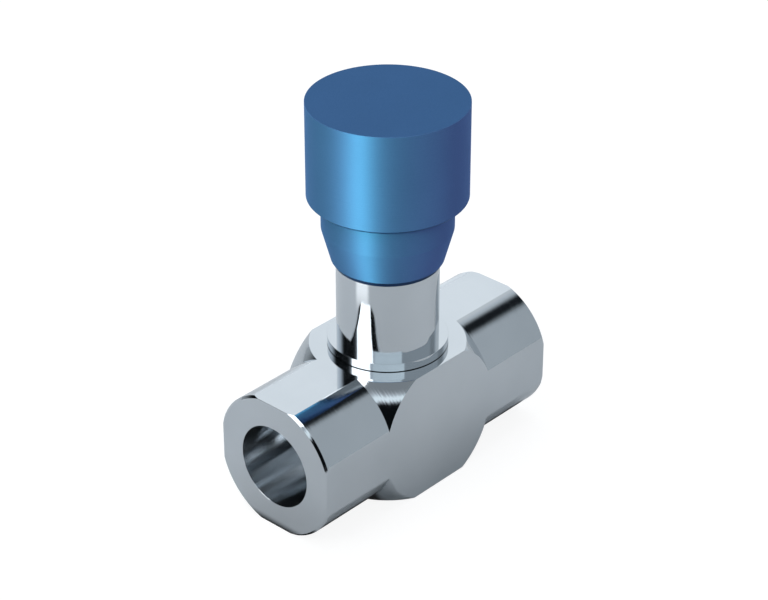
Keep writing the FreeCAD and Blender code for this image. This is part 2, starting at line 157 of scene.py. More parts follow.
class ValveBodySizes(bpy.types.PropertyGroup):
    """Sizes of the square bar body with its two ports."""

    bar: length_property("Bar", "Width across the bar's flats", 30.0)
    length: length_property("Length", "Body length from port face to port face", 70.2)
    ball: length_property("Ball", "Diameter of the turned ball in the middle", 45.2)
    end: length_property("End", "Diameter of the turned ends", 32.1)
    end_chamfer: length_property("End chamfer", "Chamfer round each port face", 0.5)
    bore: length_property("Bore", "Port bore diameter", 18.631)
    bore_depth: length_property("Bore depth", "Depth of the port's full bore", 15.0)
    passage: length_property("Passage", "Diameter of the passages to the seat", 6.5)
    lower_passage: length_property("Lower passage", "Height of the near port's passage", 9.0345)
    upper_passage: length_property("Upper passage", "Height of the far port's passage", 19.6845)
    edge_break: length_property("Edge break", "Width of the deburred edges", 0.035)


class BonnetSizes(bpy.types.PropertyGroup):
    """Sizes of the flange, sleeve and flow cage."""

    flange: length_property("Flange", "Flange diameter", 26.0)
    flange_thick: length_property("Flange thickness", "Height of the flange above the body", 2.0)
    sleeve: length_property("Sleeve", "Sleeve diameter", 22.0)
    spigot: length_property("Spigot", "Diameter of the screwed spigot", 19.0)
    mouth: length_property("Seal groove", "Diameter of the groove under the flange", 22.6)
    mouth_depth: length_property("Seal groove depth", "Depth of that groove", 1.9)
    chamber: length_property("Chamber", "Diameter of the chamber round the cage", 18.2)
    cage: length_property("Cage", "Outside diameter of the flow cage", 15.8)
    cage_bore: length_property("Cage bore", "Inside diameter of the flow cage", 12.4)
    cage_hole: length_property("Cage hole", "Diameter of the four holes in the cage", 5.5)
    needle_bore: length_property("Needle bore", "Bore that guides the needle", 11.0)
    nut_bore: length_property("Nut bore", "Plain bore in place of the spindle's thread", 9.41)
    relief_bore: length_property("Relief bore", "Bore above the nut", 12.0)
    wiper_bore: length_property("Wiper bore", "Bore of the wiper's seat", 16.0)
    slot_width: length_property("Slot width", "Width of the spanner slots in the sleeve's top", 4.0)
    slot_depth: length_property("Slot depth", "Depth of those slots", 2.0)


class KnobSizes(bpy.types.PropertyGroup):
    """Sizes of the knob with its neck, its skirt and its screws."""

    head: length_property("Head", "Diameter of the knob's head", 34.0)
    neck: length_property("Neck", "Diameter of the neck", 28.0)
    skirt_end: length_property("Skirt end", "Diameter of the skirt's lower edge", 24.1)
    rim_width: length_property("Rim width", "Width of the chamfer under the skirt", 0.8)
    rim_height: length_property("Rim height", "Height of the chamfer under the skirt", 1.25)
    chamfer: length_property("Chamfer", "Chamfer under the head", 0.5)
    top_round: length_property("Top round", "Radius of the head's top edge", 0.07)
    screw: length_property("Screw", "Diameter of the grub screws", 3.5)
    hole: length_property("Screw hole", "Diameter of the grub screws' holes", 3.56)
    mouth_chamfer: length_property("Hole chamfer", "Chamfer at each hole's mouth", 0.35)
    socket: length_property("Socket", "Width across the hexagon socket's flats", 2.0)
    socket_depth: length_property("Socket depth", "Depth of the hexagon socket", 1.5)
    hidden_side: angle_property("Lock side", "Direction of the lock screw from the port axis", 42)
    screw_spread: angle_property("Screw spread", "Angle from the lock screw to each set screw", 45)


class Finishes(bpy.types.PropertyGroup):
    """Colours and smoothness of the valve's finishes."""

    plate: colour_property("Plating", "Bright plated steel", (0.63, 0.665, 0.695))
    plate_shade: colour_property("Plating shade", "Plating where it is thinner", (0.595, 0.63, 0.66))
    plate_roughness: share_property("Plating roughness", "Blur of the plating's reflections", 0.06)
    bore_roughness: share_property("Bore roughness", "Blur of the reflections in the ports", 0.15)
    blue: colour_property("Blue", "Anodised blue of the knob's turned side", (0.116, 0.196, 0.46))
    # Painted shade: the faced blue is a darker copy of the side's blue for the top's shade, over the top's
    # own smoother faced finish; it also colours the chamfer under the head as painted shade.
    faced_blue_and_painted_shade: colour_property("Faced blue", "Anodised blue of the knob's faced top", (0.041, 0.094, 0.232))
    # Painted shade: the rim blue is a darker copy of the blue, standing for the shade under the skirt's
    # lower edge.
    rim_painted_shade: colour_property("Blue rim", "Anodised blue of the edge under the skirt", (0.02, 0.035, 0.10))
    side_roughness: share_property("Side roughness", "Blur of the knob's turned side", 0.66)
    top_roughness: share_property("Top roughness", "Blur of the knob's faced top", 0.45)
    oxide: colour_property("Black oxide", "Blackened screws", (0.045, 0.047, 0.052))
    steel: colour_property("Hardened steel", "Ground steel of the inner pieces", (0.46, 0.46, 0.47))
    spring: colour_property("Spring steel", "Oiled spring steel", (0.2, 0.2, 0.21))
    rubber: colour_property("Rubber", "Nitrile rubber seals", (0.02, 0.02, 0.021))
    ptfe: colour_property("PTFE", "White back-up rings", (0.82, 0.82, 0.79))
    bronze_ptfe: colour_property("Bronze PTFE", "Guide ring", (0.36, 0.22, 0.11))
    brass: colour_property("Brass", "Lock pad", (0.72, 0.52, 0.22))


class StudioSettings(bpy.types.PropertyGroup):
    """Camera and light of the studio."""

    azimuth: angle_property("Azimuth", "Camera's direction round the valve", -47.726)
    elevation: angle_property("Elevation", "Camera's height angle", 30.579)
    distance: length_property("Distance", "From the camera to its target", 512.13)
    target_height: length_property("Target height", "Height of the point the camera looks at", 39.955)
    target_side: FloatProperty(name="Target side", description="Sideways offset of that point",
                               default=-0.782 * MM, precision=5, subtype="DISTANCE", unit="LENGTH")
    lens: FloatProperty(name="Lens", description="Focal length in millimetres", default=113.2, min=10.0)
    floor: colour_property("Floor", "Grey floor that the metal mirrors", (0.69, 0.695, 0.70))
    sky: colour_property("Sky", "Even light from all round", (0.82, 0.90, 0.98))
    wall: colour_property("Wall", "Grey studio wall beside the camera", (0.45, 0.50, 0.54))
    bounce: colour_property("Bounce", "Light that comes up from below", (0.48, 0.545, 0.61))
    knob_power: power_property("Knob lamp", "Watts of the lamp that lights the knob alone", 6.5)
    fill_power: power_property("Fill power", "Watts of the lamp above", 0.6)


def sizes(context, group):
    return getattr(context.scene, "needle_valve_" + group)


# Shaping

def soften(bm, items, width, affect="EDGES", segments=1):
    """Break edges, or the corners of an outline."""
    bmesh.ops.bevel(bm, geom=items, offset=width, offset_type="OFFSET", segments=segments,
                    profile=0.5, affect=affect, clamp_overlap=True, material=-1)


def wire(bm, corners, closed):
    """Outline in the XZ plane from (across, height, break, segments) corners, its corners broken."""
    points = [bm.verts.new((corner[0], 0, corner[1])) for corner in corners]
    for start, end in zip(points, points[1:]):
        bm.edges.new((start, end))
    if closed:
        bm.edges.new((points[-1], points[0]))
    for point, corner in zip(points, corners):
        if len(corner) > 2:
            segments = corner[3] if len(corner) > 3 else 1
            soften(bm, [point], corner[2], "VERTICES", segments)


def turn(bm, axis, centre, facets):
    """Spin everything in the mesh one full turn and close it at the axis."""
    bmesh.ops.spin(bm, geom=list(bm.verts) + list(bm.edges), cent=centre, axis=axis, angle=FULL_TURN,
                   steps=facets, use_merge=True, use_normal_flip=False)
    bmesh.ops.remove_doubles(bm, verts=bm.verts, dist=MERGE_DISTANCE)
    bmesh.ops.recalc_face_normals(bm, faces=bm.faces)


def upright(corners, facets, closed=True):
    """Turned shape about the spindle's axis."""
    bm = bmesh.new()
    wire(bm, corners, closed)
    turn(bm, UP, (0, 0, 0), facets)
    return bm


def lay(bm, start, direction):
    """Move an upright shape to a start and point it in a direction."""
    turn_to = UP.rotation_difference(Vector(direction)).to_matrix().to_4x4()
    bmesh.ops.transform(bm, matrix=Matrix.Translation(start) @ turn_to, verts=bm.verts)


def drill(start, direction, radius, reach, mouth=0.0):
    """Tool that cuts a round hole from start towards direction, widening over its last stretch."""
    profile = [(0, 0), (radius, 0), (radius, reach)]
    if mouth:
        profile = [(0, 0), (radius, 0), (radius, reach - mouth), (radius + 2 * mouth, reach + mouth)]
    profile.append((0, profile[-1][1]))
    bm = upright(profile, HOLE_FACETS, closed=False)
    lay(bm, start, direction)
    return bm


def block(low, high):
    """Box tool between two corners."""
    low, high = Vector(low), Vector(high)
    bm = bmesh.new()
    bmesh.ops.create_cube(bm, size=1.0)
    bmesh.ops.scale(bm, vec=high - low, verts=bm.verts)
    bmesh.ops.translate(bm, vec=(low + high) / 2, verts=bm.verts)
    return bm


def outward_at(angle):
    """Level direction away from the spindle."""
    return Vector((math.cos(angle), math.sin(angle), 0))


def near(first, second):
    """Whether two places differ by rounding alone."""
    return abs(first - second) < TOUCHING


def to_object(bm, name):
    mesh = bpy.data.meshes.new(name)
    bm.to_mesh(mesh)
    bm.free()
    piece = bpy.data.objects.new(name, mesh)
    bpy.context.scene.collection.objects.link(piece)
    return piece


def cut(piece, tools):
    """Cut each tool's shape out of the piece and throw the tools away."""
    cutters = [to_object(tool, "tool_%d" % number) for number, tool in enumerate(tools)]
    for cutter in cutters:
        modifier = piece.modifiers.new("cut", "BOOLEAN")
        modifier.operation = "DIFFERENCE"
        modifier.solver = "EXACT"
        modifier.object = cutter
    bpy.context.view_layer.update()
    result = piece.evaluated_get(bpy.context.evaluated_depsgraph_get())
    mesh = bpy.data.meshes.new_from_object(result)
    piece.modifiers.clear()
    old = piece.data
    piece.data = mesh
    bpy.data.meshes.remove(old)
    mesh.name = piece.name
    bm = bmesh.new()
    bm.from_mesh(mesh)
    bmesh.ops.dissolve_degenerate(bm, dist=SLIVER, edges=bm.edges)
    bm.to_mesh(mesh)
    bm.free()
    for cutter in cutters:
        shape = cutter.data
        bpy.data.objects.remove(cutter)
        bpy.data.meshes.remove(shape)
    if len(mesh.polygons) == 0:
        raise RuntimeError("cutting left nothing of " + piece.name)


def finish_piece(piece, materials, body, replaced, choose=None):
    """Give a finished piece its materials, shading and place in the valve."""
    mesh = piece.data
    mesh.materials.clear()
    for material in materials:
        mesh.materials.append(material)
    for face in mesh.polygons:
        face.use_smooth = True
        face.material_index = choose(face) if choose else 0
    mesh.set_sharp_from_angle(angle=SHARP_ANGLE)
    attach(piece, body)
    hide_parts(*replaced)


# Materials

class Nodes:
    """Node tree of a material or of the world, filled anew."""

    def __init__(self, owner):
        owner.use_nodes = True
        self.tree = owner.node_tree
        self.tree.nodes.clear()

    def feed(self, socket, value):
        """Give an input a number, a colour or another node's output."""
        if isinstance(value, bpy.types.NodeSocket):
            self.tree.links.new(value, socket)
        elif socket.type == "RGBA":
            socket.default_value = (*value, 1)
        else:
            socket.default_value = value

    def fill(self, node, inputs):
        """Feed a node's inputs by name, with _ for each blank in a name."""
        for name, value in inputs.items():
            self.feed(node.inputs[name.replace("_", " ")], value)

    def new(self, kind, settings=None, **inputs):
        """Add a node, set it up and feed its inputs."""
        node = self.tree.nodes.new("ShaderNode" + kind)
        for name, value in (settings or {}).items():
            setattr(node, name, value)
        self.fill(node, inputs)
        return node

    def maths(self, operation, *values):
        node = self.new("Math", {"operation": operation})
        for socket, value in zip(node.inputs, values):
            self.feed(socket, value)
        return node.outputs["Value"]

    def length(self, vector):
        node = self.new("VectorMath", {"operation": "LENGTH"})
        self.feed(node.inputs[0], vector)
        return node.outputs["Value"]

    def mix(self, factor, first, second):
        """Colour that goes from first to second as the factor goes from 0 to 1."""
        return self.new("Mix", {"data_type": "RGBA"}, Factor=factor, A=first, B=second).outputs["Result"]

    def add_shaders(self, first, second):
        node = self.new("AddShader")
        for socket, shader in zip(node.inputs, (first, second)):
            self.feed(socket, shader.outputs[0])
        return node

    def soft_step(self, source, start, end):
        """0 before start and 1 past end, with a smooth change between them."""
        return self.new("MapRange", {"interpolation_type": "SMOOTHSTEP"},
                        Value=source, From_Min=start, From_Max=end).outputs["Result"]

    def inside(self, distance, outer, inner):
        """1 where a distance is short of inner, 0 where it is past outer."""
        return self.soft_step(self.maths("ABSOLUTE", distance), outer, inner)

    def sector(self, azimuth, centre, half_width, soft):
        """Directions within a sector given in degrees, with a soft edge."""
        turned = self.maths("SUBTRACT", azimuth, math.radians(centre))
        away = self.maths("WRAP", turned, math.pi, -math.pi)
        return self.inside(away, math.radians(half_width + soft), math.radians(half_width - soft))

    def band(self, elevation, centre, half_height, soft):
        """Directions within a band of elevation given in degrees, with a soft edge."""
        above = self.maths("SUBTRACT", elevation, math.radians(centre))
        return self.inside(above, math.radians(half_height + soft), math.radians(half_height - soft))


class Finish(Nodes):
    """Node material of the valve with the textures that its finishes share."""

    def __init__(self, name):
        self.material = bpy.data.materials.get(name) or bpy.data.materials.new(name)
        super().__init__(self.material)
        self.shader = self.new("BsdfPrincipled")
        self.new("OutputMaterial", Surface=self.shader.outputs["BSDF"])
        self.place = self.new("TexCoord").outputs["Object"]
        self.normal = None

    def set(self, **inputs):
        self.fill(self.shader, inputs)

    def stretched(self, cells, centre=(0, 0, 0)):
        """Object coordinates from a centre, with so many cells to the metre on each axis."""
        shift = [-place * count for place, count in zip(centre, cells)]
        return self.new("Mapping", Vector=self.place, Location=shift, Scale=cells).outputs["Vector"]

    def noise(self, cells, detail):
        return self.new("TexNoise", Vector=self.stretched(cells), Scale=1.0, Detail=detail,
                        Roughness=0.5).outputs["Fac"]

    def tool_marks(self, distance, cells, detail):
        """Noise that changes with one distance alone, as a tool's marks do."""
        return self.new("TexNoise", {"noise_dimensions": "1D"}, W=distance, Scale=cells,
                        Detail=detail).outputs["Fac"]

    def along(self, axis):
        return self.new("SeparateXYZ", Vector=self.place).outputs[axis]

    def ranged(self, noise, out_low, out_high, low=0.3, high=0.7):
        """Stretch the usual range of a noise to another one."""
        return self.new("MapRange", Value=noise, From_Min=low, From_Max=high, To_Min=out_low,
                        To_Max=out_high).outputs["Result"]

    def stretch_across(self, axis, amount):
        """Stretch reflections across the fine marks that a lathe leaves round an axis."""
        around = self.new("Tangent", {"direction_type": "RADIAL", "axis": axis})
        self.set(Tangent=around.outputs["Tangent"], Anisotropic=amount, Anisotropic_Rotation=0.25)

    def bump(self, height, distance, strength):
        """Lay a relief over the ones before it."""
        node = self.new("Bump", Height=height, Distance=distance, Strength=strength)
        if self.normal is not None:
            self.fill(node, {"Normal": self.normal})
        self.normal = node.outputs["Normal"]
        self.set(Normal=self.normal)


def even(cells):
    """The same number of cells to the metre on each axis."""
    return (cells, cells, cells)


def shaded(colour, share):
    return [share * channel for channel in colour]


def turned_along_x(finish):
    return finish.tool_marks(finish.along("X"), cells=2600, detail=3.0)


def turned_along_z(finish):
    return finish.tool_marks(finish.along("Z"), cells=7500, detail=2.0)


def drawn_along_x(finish):
    return finish.noise((28, 4200, 4200), detail=2.0)


def faced_round_port(finish):
    port_height = 15 * MM
    return finish.tool_marks(finish.length(finish.stretched((0, 1, 1), (0, 0, port_height))),
                             cells=6500, detail=2.0)


def faced_round_spindle(finish):
    return finish.tool_marks(finish.length(finish.stretched((1, 1, 0))), cells=6500, detail=2.0)


def plated(name, looks, marks, relief=0.06, bored=False):
    """Bright plating over machined steel, whose relief is the strength of the tool's marks."""
    finish = Finish(name)
    finish.set(Metallic=1.0)
    base = looks.plate_roughness
    if bored:
        base = looks.bore_roughness
        finish.stretch_across("X", 1.0)
    cloud = finish.noise(even(55), detail=3.0)
    grain = finish.noise(even(5200), detail=1.0)
    lines = marks(finish)
    thinner = finish.ranged(cloud, 0.0, 1.0, low=0.35, high=0.65)
    smears = finish.ranged(cloud, -0.02, 0.03)
    streaks = finish.ranged(lines, base - 0.015, base + 0.025)
    finish.set(Base_Color=finish.mix(thinner, looks.plate, looks.plate_shade),
               Roughness=finish.maths("ADD", streaks, smears))
    finish.bump(grain, distance=0.004 * MM, strength=0.12)
    finish.bump(lines, distance=0.012 * MM, strength=relief)
    return finish.material


def anodised(name, colour, roughness, marks, stretch=0.0):
    """Satin blue anodising with the fine marks of the lathe showing through."""
    finish = Finish(name)
    finish.set(Metallic=0.75, Specular_IOR_Level=0.2, Specular_Tint=(0.5, 0.68, 0.85))
    if stretch:
        finish.stretch_across("Z", stretch)
    cloud = finish.noise(even(70), detail=3.0)
    grain = finish.noise(even(3800), detail=2.0)
    lines = marks(finish)
    darker = finish.maths("ADD", finish.ranged(cloud, 0.0, 0.7), finish.ranged(lines, 0.0, 0.3))
    grainy = finish.ranged(grain, roughness - 0.03, roughness + 0.03)
    finish.set(Base_Color=finish.mix(darker, colour, shaded(colour, 0.92)),
               Roughness=finish.maths("ADD", grainy, finish.ranged(lines, -0.02, 0.02)))
    finish.bump(grain, distance=0.01 * MM, strength=0.18)
    finish.bump(lines, distance=0.01 * MM, strength=0.15)
    return finish.material


def ground(name, colour, marks, roughness):
    """Bare or blackened metal of the inner pieces and the screws."""
    finish = Finish(name)
    cloud = finish.noise(even(140), detail=3.0)
    lines = marks(finish)
    finish.set(Metallic=1.0,
               Base_Color=finish.mix(finish.ranged(cloud, 0.0, 1.0), colour, shaded(colour, 0.82)),
               Roughness=finish.ranged(lines, roughness - 0.05, roughness + 0.05))
    finish.bump(lines, distance=0.01 * MM, strength=0.2)
    return finish.material


def moulded(name, colour, roughness, cells):
    """Rubber and PTFE, matt with a fine grain."""
    finish = Finish(name)
    cloud = finish.noise(even(180), detail=3.0)
    grain = finish.noise(even(cells), detail=2.0)
    finish.set(Base_Color=finish.mix(finish.ranged(cloud, 0.0, 1.0), colour, shaded(colour, 0.85)),
               Roughness=finish.ranged(grain, roughness - 0.06, roughness + 0.06))
    finish.bump(grain, distance=0.01 * MM, strength=0.3)
    return finish.material


# Pieces

def cage_top(body):
    """Height where the flow cage ends and the spigot starts."""
    return body.upper_passage + body.passage / 2 + CAGE_RISE


class NEEDLEVALVE_OT_body(bpy.types.Operator):
    """Build the square bar body: turned ball and ends, flats, ports and inner passages"""

    bl_idname = "needle_valve.body"
    bl_label = "Valve Body"

    def execute(self, context):
        size = sizes(context, "body")
        bm = self.turned_bar(size)
        self.mill_flats(bm, size)
        piece = to_object(bm, "valve_body_plated")
        reach = size.length / 2 - size.bore_depth
        cut(piece, [self.cavity(size, sizes(context, "bonnet")),
                    drill((-reach, 0, size.lower_passage), ALONG, size.passage / 2, reach),
                    drill((reach, 0, size.upper_passage), -ALONG, size.passage / 2, reach)])
        self.plate(piece, size, sizes(context, "finishes"))
        return {"FINISHED"}

    def turned_bar(self, size):
        """Turn the ball, the two ends and their ports about the port axis."""
        axis_height = size.bar / 2
        half, end, ball = size.length / 2, size.end / 2, size.ball / 2
        bore, bore_floor = size.bore / 2, half - size.bore_depth
        shoulder = math.sqrt(ball ** 2 - end ** 2)
        bm = bmesh.new()
        arc_start = bm.verts.new((-shoulder, 0, axis_height + end))
        bmesh.ops.spin(bm, geom=[arc_start], cent=(0, 0, axis_height), axis=ACROSS,
                       angle=2 * math.asin(shoulder / ball), steps=BALL_ARC_FACETS, use_merge=False)
        bm.verts.ensure_lookup_table()
        arc_end = max(bm.verts, key=lambda vert: vert.co.x)
        arc_start = min(bm.verts, key=lambda vert: vert.co.x)
        mouth = (half, bore)
        corners = [(half - size.end_chamfer, end), (half, end - size.end_chamfer), mouth,
                   (bore_floor, bore), (bore_floor, 0)]
        for side, last in ((-1, arc_start), (1, arc_end)):
            made = []
            for x, radius in corners:
                made.append(bm.verts.new((side * x, 0, axis_height + radius)))
                bm.edges.new((last, made[-1]))
                last = made[-1]
            soften(bm, [made[corners.index(mouth)]], size.edge_break, "VERTICES")
        turn(bm, ALONG, (0, 0, axis_height), BODY_FACETS)
        return bm

    def mill_flats(self, bm, size):
        """Cut the turned shape square and break the new edges."""
        half = size.bar / 2
        for point, outward in (((0, -half, 0), -ACROSS), ((0, half, 0), ACROSS),
                               ((0, 0, 0), -UP), ((0, 0, size.bar), UP)):
            made = bmesh.ops.bisect_plane(
                bm, geom=list(bm.verts) + list(bm.edges) + list(bm.faces), dist=MERGE_DISTANCE,
                plane_co=point, plane_no=outward, clear_outer=True, clear_inner=False)
            rim = [item for item in made["geom_cut"] if isinstance(item, bmesh.types.BMEdge)]
            bmesh.ops.edgeloop_fill(bm, edges=rim)
        bmesh.ops.recalc_face_normals(bm, faces=bm.faces)
        flats = [face for face in bm.faces if self.on_flat(face.calc_center_median(), half)
                 and max(abs(face.normal.y), abs(face.normal.z)) > FACING]
        rims = {edge for face in flats for edge in face.edges}
        soften(bm, list(rims), size.edge_break)
        bmesh.ops.recalc_face_normals(bm, faces=bm.faces)

    def on_flat(self, place, half):
        """Whether a place lies on one of the bar's four sides."""
        return near(abs(place.y), half) or near(abs(place.z - half), half)

    def cavity(self, size, bonnet):
        """Tool for the stepped hole that takes the seat and the bonnet."""
        floor = size.lower_passage - size.passage / 2
        drill_point = SEAT_CHAMBER_RADIUS / math.tan(DRILL_HALF_ANGLE)
        seat = size.lower_passage + size.passage / 2 + SEAT_LEDGE
        seat_top = seat + SEAT_HEIGHT
        chamber = bonnet.chamber / 2
        chamber_top = cage_top(size)
        spigot = bonnet.spigot / 2 + THREAD_FIT
        mouth = bonnet.mouth / 2
        mouth_floor = size.bar - bonnet.mouth_depth
        above = size.bar + MM
        return upright([
            (0, floor - drill_point), (SEAT_CHAMBER_RADIUS, floor), (SEAT_CHAMBER_RADIUS, seat),
            (SEAT_POCKET_RADIUS, seat), (SEAT_POCKET_RADIUS, seat_top), (chamber, seat_top),
            (chamber, chamber_top), (spigot, chamber_top), (spigot, mouth_floor), (mouth, mouth_floor),
            (mouth, above), (0, above)], CAVITY_FACETS, closed=False)

    def plate(self, piece, size, looks):
        """Plate the body, with other tool marks on its ends, flats, port faces and bores."""
        half, bore, axis_height = size.length / 2, size.bore / 2, size.bar / 2
        facet_slack = 0.1 * MM
        materials = [plated("plate_on_turned_ends", looks, turned_along_x, relief=1.0),
                     plated("plate_on_bar_flats", looks, drawn_along_x),
                     plated("plate_on_port_faces", looks, faced_round_port),
                     plated("plate_in_port_bores", looks, turned_along_x, relief=0.02, bored=True)]
        turned, drawn, faced, bored = range(len(materials))

        def choose(face):
            centre = face.center
            if abs(face.normal.x) > FACING and near(abs(centre.x), half):
                return faced
            if self.on_flat(centre, axis_height):
                return drawn
            radius = math.hypot(centre.y, centre.z - axis_height)
            in_bore = bore - facet_slack < radius < bore + TOUCHING
            return bored if in_bore and abs(centre.x) > half - size.bore_depth else turned

        finish_piece(piece, materials, "valve", ["valve_body"], choose)


class NEEDLEVALVE_OT_bonnet(bpy.types.Operator):
    """Build the bonnet: flange, sleeve, spigot and flow cage"""

    bl_idname = "needle_valve.bonnet"
    bl_label = "Bonnet"

    def execute(self, context):
        size = sizes(context, "bonnet")
        body = sizes(context, "body")
        looks = sizes(context, "finishes")
        low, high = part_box("bonnet")
        bottom, top = low.z, high.z
        piece = to_object(upright(self.outline(size, body, bottom, top), SLEEVE_FACETS), "bonnet_plated")
        tools = [drill(UP * body.upper_passage, outward_at(quarter * math.pi / 2), size.cage_hole / 2,
                       size.cage) for quarter in range(4)]
        tools.append(block((-size.sleeve, -size.slot_width / 2, top - size.slot_depth),
                           (size.sleeve, size.slot_width / 2, top + size.slot_depth)))
        cut(piece, tools)
        materials = [plated("plate_on_sleeve", looks, turned_along_z, relief=0.1),
                     plated("plate_on_flange_top", looks, faced_round_spindle)]
        turned, faced = range(len(materials))

        def choose(face):
            return faced if abs(face.normal.z) > FACING else turned

        finish_piece(piece, materials, "valve", ["bonnet"], choose)
        return {"FINISHED"}

    def outline(self, size, body, bottom, top):
        """Half section, up the outside from the cage's foot and down through the bores."""
        sleeve, flange = size.sleeve / 2, size.flange / 2
        spigot, cage, cage_bore = size.spigot / 2, size.cage / 2, size.cage_bore / 2
        shoulder = cage_top(body)
        seal_floor, seat = body.bar - size.mouth_depth, body.bar
        seam_top, flange_top = seat + SEAM_HEIGHT, seat + size.flange_thick
        outside = [
            (cage_bore, bottom), (cage, bottom), (cage, shoulder), (spigot, shoulder),
            (spigot, seal_floor), (spigot - SPIGOT_RELIEF, seal_floor), (spigot - SPIGOT_RELIEF, seat),
            (flange - SEAM_DEPTH, seat), (flange - SEAM_DEPTH, seam_top), (flange, seam_top),
            (flange, flange_top, FLANGE_EDGE_BREAK), (sleeve, flange_top),
            (sleeve, top - SLEEVE_CHAMFER), (sleeve - SLEEVE_CHAMFER, top)]
        stop = shoulder + NEEDLE_BORE_LENGTH
        nut_top = stop + NUT_LENGTH
        wiper_seat = nut_top + RELIEF_LENGTH
        clip = wiper_seat + WIPER_LENGTH
        clip_top = clip + CLIP_GROOVE_HEIGHT
        wiper, relief = size.wiper_bore / 2, size.relief_bore / 2
        groove = wiper + CLIP_GROOVE_DEPTH
        nut, needle = size.nut_bore / 2, size.needle_bore / 2
        bores = [
            (wiper, top), (wiper, clip_top), (groove, clip_top), (groove, clip), (wiper, clip),
            (wiper, wiper_seat), (relief, wiper_seat), (relief, nut_top), (nut, nut_top),
            (nut, stop), (needle, stop), (needle, shoulder), (cage_bore, shoulder)]
        return outside + bores


class NEEDLEVALVE_OT_knob(bpy.types.Operator):
    """Build the blue knob: head, neck, coned skirt, stem bore and screw holes"""

    bl_idname = "needle_valve.knob"
    bl_label = "Knob"

    def execute(self, context):
        size = sizes(context, "knob")
        looks = sizes(context, "finishes")
        low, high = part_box("knob")
        rim, top = low.z, high.z
        cone_bottom = rim + size.rim_height
        neck_bottom = cone_bottom + CONE_HEIGHT
        head_bottom = neck_bottom + NECK_HEIGHT
        head, neck, skirt = size.head / 2, size.neck / 2, size.skirt_end / 2
        bore = sizes(context, "bonnet").sleeve / 2 + SKIRT_GAP
        groove, groove_bottom = bore + SEAL_GROOVE_DEPTH, rim + SEAL_GROOVE_RISE
        groove_top = groove_bottom + SEAL_GROOVE_HEIGHT
        bm = upright([
            (0, top), (head, top, size.top_round, 4),
            (head, head_bottom + size.chamfer, KNOB_EDGE_ROUND, 3), (head - size.chamfer, head_bottom),
            (neck, head_bottom), (neck, neck_bottom, NECK_ROUND, 6),
            (skirt, cone_bottom, KNOB_EDGE_ROUND, 3), (skirt - size.rim_width, rim, KNOB_EDGE_ROUND),
            (bore, rim, KNOB_EDGE_ROUND), (bore, groove_bottom), (groove, groove_bottom),
            (groove, groove_top), (bore, groove_top), (bore, SKIRT_CEILING),
            (STEM_HOLE_RADIUS, SKIRT_CEILING), (STEM_HOLE_RADIUS, STEM_HOLE_TOP),
            (0, STEM_HOLE_TOP)], KNOB_FACETS, closed=False)
        piece = to_object(bm, "knob_blue")
        tools = []
        for angle, height in ((size.hidden_side, LOCK_SCREW_HEIGHT),
                              (size.hidden_side - size.screw_spread, SET_SCREW_HEIGHT),
                              (size.hidden_side + size.screw_spread, SET_SCREW_HEIGHT)):
            outward = outward_at(angle)
            tools.append(drill(UP * height + outward * SCREW_HOLE_START, outward, size.hole / 2,
                               head - SCREW_HOLE_START, mouth=size.mouth_chamfer))
        cut(piece, tools)
        materials = [anodised("blue_turned", looks.blue, looks.side_roughness, turned_along_z, stretch=0.8),
                     # The faced material's darker blue is painted shade on the top and under the head.
                     anodised("faced_blue_and_painted_shade", looks.faced_blue_and_painted_shade, looks.top_roughness, faced_round_spindle),
                     # The rim material is painted shade under the skirt.
                     anodised("rim_painted_shade", looks.rim_painted_shade, looks.top_roughness, turned_along_z)]
        turned, faced, edge = range(len(materials))
        slanting_down = -0.3

        def choose(face):
            height, upward = face.center.z, face.normal.z
            # Painted shade: the down-facing chamfer under the skirt gets the dark rim blue.
            if height < cone_bottom - RIM_MARGIN and -FACING < upward < slanting_down:
                return edge
            # Painted shade: the down-facing chamfer under the head gets the darker faced blue.
            under_head = head_bottom < height < head_bottom + size.chamfer and upward < slanting_down
            return faced if under_head or abs(upward) > FACING else turned

        finish_piece(piece, materials, "knob", ["knob"], choose)
        return {"FINISHED"}


class NEEDLEVALVE_OT_screws(bpy.types.Operator):
    """Build the two set screws and the lock screw with their hexagon sockets"""

    bl_idname = "needle_valve.screws"
    bl_label = "Grub Screws"

    def execute(self, context):
        size = sizes(context, "knob")
        looks = sizes(context, "finishes")
        black = ground("black_oxide", looks.oxide, drawn_along_x, roughness=0.34)
        head = size.head / 2
        lock = self.grub(size, "lock_screw_black", size.hidden_side, LOCK_SCREW_HEIGHT,
                         LOCK_SCREW_POINT, head - LOCK_SCREW_SUNK)
        finish_piece(lock, [black], "lock_screw", ["lock_screw"])
        pair = [self.grub(size, "set_screw_%d" % number, size.hidden_side + side * size.screw_spread,
                          SET_SCREW_HEIGHT, SET_SCREW_POINT, head - SET_SCREW_SUNK)
                for number, side in enumerate((-1, 1))]
        for screw in pair:
            finish_piece(screw, [black], "knob", ["knob_set_screws"])
        return {"FINISHED"}

    def grub(self, size, name, angle, height, point, tail):
        """Grub screw that lies between two distances from the spindle's axis."""
        radius, length = size.screw / 2, tail - point
        bm = upright([(0, 0), (radius, 0, SCREW_POINT_CHAMFER), (radius, length, SCREW_TAIL_CHAMFER),
                      (0, length)], SCREW_FACETS, closed=False)
        corner = size.socket / math.sqrt(3)
        socket = bmesh.new()
        bmesh.ops.create_cone(socket, cap_ends=True, segments=6, radius1=corner, radius2=corner,
                              depth=2 * size.socket_depth)
        bmesh.ops.translate(socket, vec=(0, 0, length), verts=socket.verts)
        outward = outward_at(angle)
        for shape in (bm, socket):
            lay(shape, outward * point + UP * height, outward)
        piece = to_object(bm, name)
        cut(piece, [socket])
        return piece


